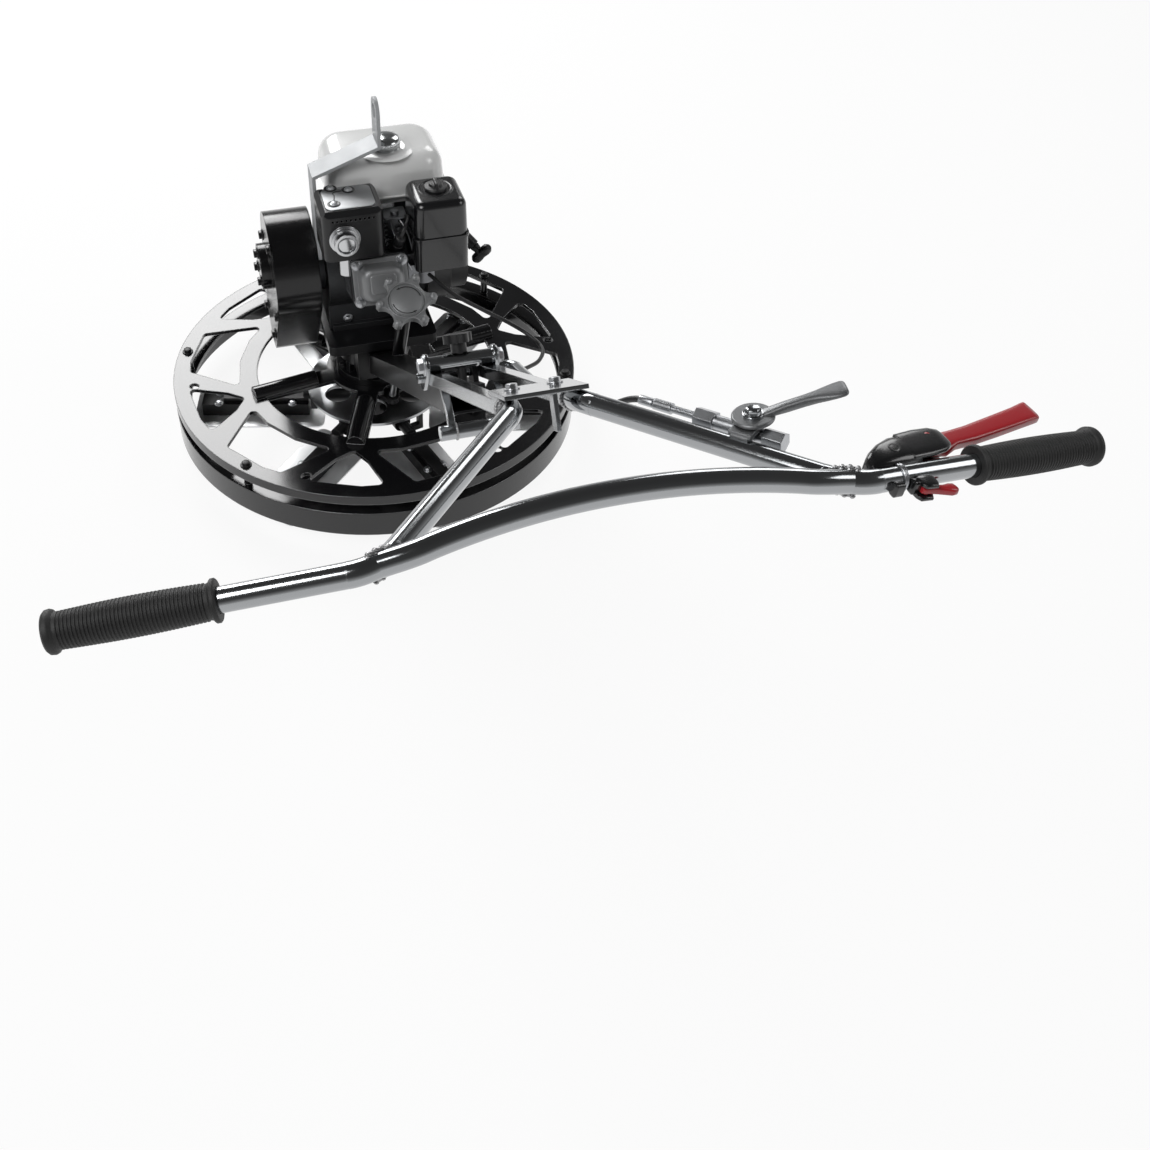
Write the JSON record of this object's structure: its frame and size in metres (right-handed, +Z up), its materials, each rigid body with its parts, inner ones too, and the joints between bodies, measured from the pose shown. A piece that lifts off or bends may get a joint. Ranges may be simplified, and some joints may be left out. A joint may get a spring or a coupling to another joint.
{
  "type": "walk-behind power trowel",
  "caption": "Engine-driven concrete finishing trowel with pitched steel blades under a round guard ring and a folding chrome steering handle.",
  "frame": {"origin": "on the rotor spindle's axis at floor level, under the blades", "axes": "+Z up along the spindle, +Y to the front away from the operator, +X to the operator's right"},
  "size_m": [0.861, 1.4568, 0.7897],
  "materials": {
    "ring_black": "gloss black paint",
    "arm_black": "satin black paint",
    "blade_steel": "bright rolled steel",
    "machined_steel": "turned steel",
    "bronze": "cast bronze",
    "gearbox_black": "black painted casting",
    "guard_black": "gloss black paint",
    "belt_rubber": "matte",
    "engine_alloy": "dark painted die casting",
    "cover_alloy": "bead-blasted casting",
    "knob_grey": "grey painted casting",
    "exhaust_chrome": "bright plated",
    "shield_black": "satin heat-proof paint",
    "black_plastic": "moulded",
    "tank_white": "gloss",
    "cap_chrome": "bright plated",
    "zinc_plate": "zinc plated",
    "handle_chrome": "bright plated",
    "grip_rubber": "ribbed",
    "red_plastic": "moulded",
    "cable_black": "extruded sheath"
  },
  "bodies": {
    "frame": {"guard_ring": "ring_black", "rim_ring": "ring_black", "gearbox_housing": "gearbox_black", "belt_guard": "guard_black", "drive_belt": "belt_rubber", "engine_plate": "gearbox_black", "crankcase": "engine_alloy", "cylinder_block": "engine_alloy", "valve_cover": "cover_alloy", "muffler": "exhaust_chrome", "muffler_shield": "shield_black", "air_cleaner_base": "black_plastic", "air_cleaner_cover": "black_plastic", "carburettor": "engine_alloy", "fuel_tank": "tank_white", "recoil_cover": "black_plastic", "lifting_bracket": "zinc_plate", "handle_boom": "gearbox_black", "throttle_cable": "cable_black"},
    "rotor": {"output_shaft": "machined_steel", "worm_wheel": "bronze", "spider_hub": "arm_black"},
    "thrust_plate": {"thrust_plate": "machined_steel"},
    "arm_1": {"blade_arm_1": "arm_black", "blade_1": "blade_steel"},
    "arm_2": {"blade_arm_2": "arm_black", "blade_2": "blade_steel"},
    "arm_3": {"blade_arm_3": "arm_black", "blade_3": "blade_steel"},
    "arm_4": {"blade_arm_4": "arm_black", "blade_4": "blade_steel"},
    "arm_5": {"blade_arm_5": "arm_black", "blade_5": "blade_steel"},
    "arm_6": {"blade_arm_6": "arm_black", "blade_6": "blade_steel"},
    "thrust_collar": {"thrust_collar": "machined_steel"},
    "pitch_yoke": {"pitch_yoke": "arm_black"},
    "pitch_screw": {"pitch_screw": "machined_steel"},
    "pitch_knob": {"pitch_knob": "knob_grey"},
    "worm": {"worm_shaft": "machined_steel", "driven_pulley": "machined_steel"},
    "engine_shaft": {"clutch_drum": "machined_steel"},
    "handle": {"handle_rails": "handle_chrome", "handle_bracket": "handle_chrome", "side_tube_right": "handle_chrome", "side_tube_left": "handle_chrome", "cross_bar": "handle_chrome", "grip_right": "grip_rubber", "grip_left": "grip_rubber", "cable_adjuster": "zinc_plate", "throttle_base": "zinc_plate", "stop_housing": "black_plastic"},
    "lock_pin": {"lock_pin": "handle_chrome"},
    "clamp_knob": {"clamp_knob": "black_plastic"},
    "throttle_lever": {"throttle_lever": "zinc_plate"},
    "stop_lever": {"stop_lever": "red_plastic"},
    "stop_trigger": {"stop_trigger": "red_plastic"},
    "starter_grip": {"starter_grip": "black_plastic"},
    "fuel_cap": {"fuel_cap": "cap_chrome"},
    "air_cleaner_knob": {"air_cleaner_knob": "black_plastic"}
  },
  "joints": [
    {"name": "rotor_spin", "type": "hinge", "parent": "frame", "child": "rotor", "pos_m": [0, 0, 0.036], "axis": [0, 0, -1], "continuous": true},
    {"name": "thrust_plate_slide", "type": "slide", "parent": "rotor", "child": "thrust_plate", "axis": [0, 0, -1], "range_m": [0, 0.0063]},
    {"name": "blade_tilt_1", "type": "hinge", "parent": "rotor", "child": "arm_1", "pos_m": [0, 0, 0.036], "axis": [-0.6947, -0.7193, 0], "range_deg": [0, 13]},
    {"name": "blade_tilt_2", "type": "hinge", "parent": "rotor", "child": "arm_2", "pos_m": [0, 0, 0.036], "axis": [0.2756, -0.9613, 0], "range_deg": [0, 13]},
    {"name": "blade_tilt_3", "type": "hinge", "parent": "rotor", "child": "arm_3", "pos_m": [0, 0, 0.036], "axis": [0.9703, -0.2419, 0], "range_deg": [0, 13]},
    {"name": "blade_tilt_4", "type": "hinge", "parent": "rotor", "child": "arm_4", "pos_m": [0, 0, 0.036], "axis": [0.6947, 0.7193, 0], "range_deg": [0, 13]},
    {"name": "blade_tilt_5", "type": "hinge", "parent": "rotor", "child": "arm_5", "pos_m": [0, 0, 0.036], "axis": [-0.2756, 0.9613, 0], "range_deg": [0, 13]},
    {"name": "blade_tilt_6", "type": "hinge", "parent": "rotor", "child": "arm_6", "pos_m": [0, 0, 0.036], "axis": [-0.9703, 0.2419, 0], "range_deg": [0, 13]},
    {"name": "thrust_collar_slide", "type": "slide", "parent": "frame", "child": "thrust_collar", "axis": [0, 0, -1], "range_m": [0, 0.0063]},
    {"name": "yoke_tilt", "type": "hinge", "parent": "frame", "child": "pitch_yoke", "pos_m": [0, 0.058, 0.082], "axis": [1, 0, 0], "range_deg": [0, 6.15]},
    {"name": "pitch_screw_slide", "type": "slide", "parent": "frame", "child": "pitch_screw", "axis": [0, 0.4695, -0.8829], "range_m": [0, 0.0156]},
    {"name": "pitch_knob_turn", "type": "hinge", "parent": "frame", "child": "pitch_knob", "pos_m": [0.013, -0.221, 0.362], "axis": [0, 0.4695, -0.8829], "range_deg": [0, 1080]},
    {"name": "worm_spin", "type": "hinge", "parent": "frame", "child": "worm", "pos_m": [0, 0.07, 0.167], "axis": [1, 0, 0], "continuous": true},
    {"name": "crank_spin", "type": "hinge", "parent": "frame", "child": "engine_shaft", "pos_m": [0, 0, 0.312], "axis": [1, 0, 0], "continuous": true},
    {"name": "handle_fold", "type": "hinge", "parent": "frame", "child": "handle", "pos_m": [0, -0.57603, 0.50838], "axis": [-1, 0, 0], "range_deg": [0, 70], "deforming": ["throttle_cable"]},
    {"name": "lock_pin_pull", "type": "slide", "parent": "handle", "child": "lock_pin", "axis": [1, 0, 0], "range_m": [0, 0.115]},
    {"name": "clamp_knob_turn", "type": "hinge", "parent": "handle", "child": "clamp_knob", "pos_m": [0, -0.59443, 0.53907], "axis": [0, 0.5373, 0.8434], "range_deg": [0, 720]},
    {"name": "throttle_turn", "type": "hinge", "parent": "handle", "child": "throttle_lever", "pos_m": [0.14231, -1.01793, 0.76361], "axis": [-0.0968, 0.1237, 0.9876], "range_deg": [0, 60]},
    {"name": "stop_lever_squeeze", "type": "hinge", "parent": "handle", "child": "stop_lever", "pos_m": [0.26916, -1.06981, 0.7496], "axis": [-0.1509, -0.0203, -0.9883], "range_deg": [0, 8], "stiffness_Nm_per_rad": 6, "springref_deg": -11.46},
    {"name": "stop_trigger_pull", "type": "hinge", "parent": "handle", "child": "stop_trigger", "pos_m": [0.24519, -1.12146, 0.75431], "axis": [0.1509, 0.0203, 0.9883], "range_deg": [0, 15], "stiffness_Nm_per_rad": 0.4, "springref_deg": -17.19},
    {"name": "starter_pull", "type": "slide", "parent": "frame", "child": "starter_grip", "axis": [0.6017, -0.5014, -0.6217], "range_m": [0, 0.5], "stiffness_N_per_m": 15, "springref_m": -0.1},
    {"name": "fuel_cap_turn", "type": "hinge", "parent": "frame", "child": "fuel_cap", "pos_m": [0.03, -0.018, 0.495], "axis": [0, 0, 1], "range_deg": [0, 90]},
    {"name": "air_cleaner_knob_turn", "type": "hinge", "parent": "frame", "child": "air_cleaner_knob", "pos_m": [0.084, -0.104, 0.47], "axis": [0, 0, 1], "range_deg": [0, 720]}
  ],
  "couplings": [
    {"joint": "worm_spin", "follows": "rotor_spin", "ratio": 30},
    {"joint": "crank_spin", "follows": "rotor_spin", "ratio": 33.529},
    {"joint": "pitch_screw_slide", "follows": "pitch_knob_turn", "m_per_rad": 0.00082761},
    {"joint": "yoke_tilt", "follows": "pitch_knob_turn", "ratio": 0.0056944},
    {"joint": "thrust_collar_slide", "follows": "pitch_knob_turn", "m_per_rad": 0.00033423},
    {"joint": "thrust_plate_slide", "follows": "pitch_knob_turn", "m_per_rad": 0.00033423},
    {"joint": "blade_tilt_1", "follows": "pitch_knob_turn", "ratio": 0.012037},
    {"joint": "blade_tilt_2", "follows": "pitch_knob_turn", "ratio": 0.012037},
    {"joint": "blade_tilt_3", "follows": "pitch_knob_turn", "ratio": 0.012037},
    {"joint": "blade_tilt_4", "follows": "pitch_knob_turn", "ratio": 0.012037},
    {"joint": "blade_tilt_5", "follows": "pitch_knob_turn", "ratio": 0.012037},
    {"joint": "blade_tilt_6", "follows": "pitch_knob_turn", "ratio": 0.012037}
  ]
}
